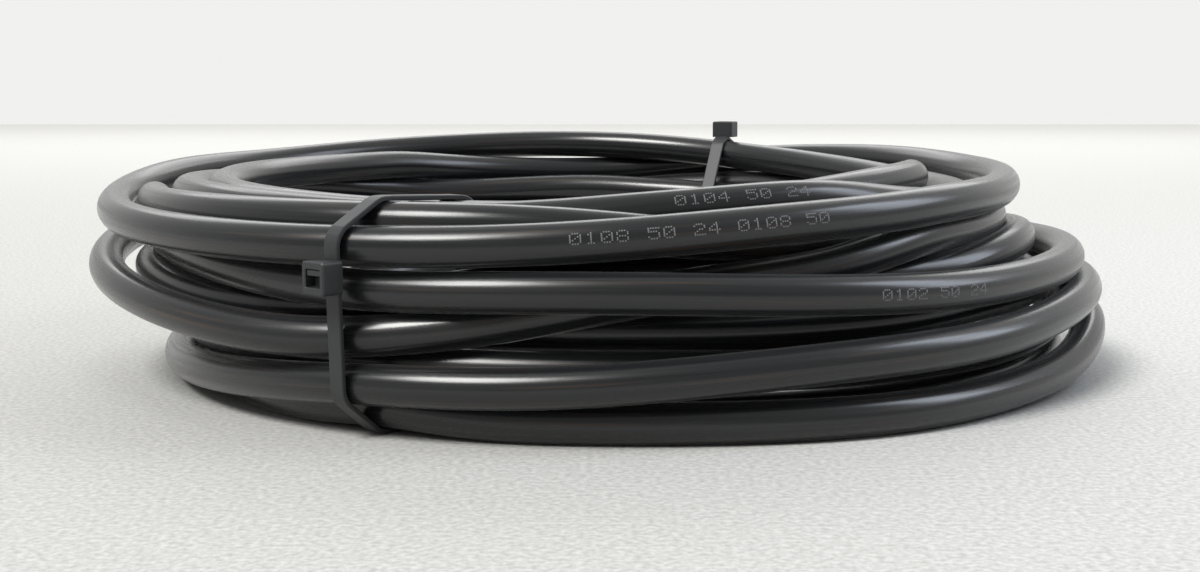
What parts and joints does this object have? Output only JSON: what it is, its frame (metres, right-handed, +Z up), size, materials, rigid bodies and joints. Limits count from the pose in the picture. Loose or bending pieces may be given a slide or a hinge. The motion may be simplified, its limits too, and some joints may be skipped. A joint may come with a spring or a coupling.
{
  "type": "coaxial cable coil",
  "caption": "Loose hand-wound coil of thick black coaxial cable, lying flat and held together by black nylon cable ties.",
  "frame": {"origin": "bottom centre of the bounding box, on the floor that the coil lies on", "axes": "+Z up along the coil's axis, +X to the right as seen from the side of the front tie's head, -Y towards that front side"},
  "size_m": [0.3174, 0.292, 0.0689],
  "materials": {
    "jacket": "satin black PVC",
    "tie": "matte black nylon"
  },
  "bodies": {
    "root": {"cable_coil": "jacket", "front_cable_tie": "tie", "rear_cable_tie": "tie"}
  },
  "joints": []
}
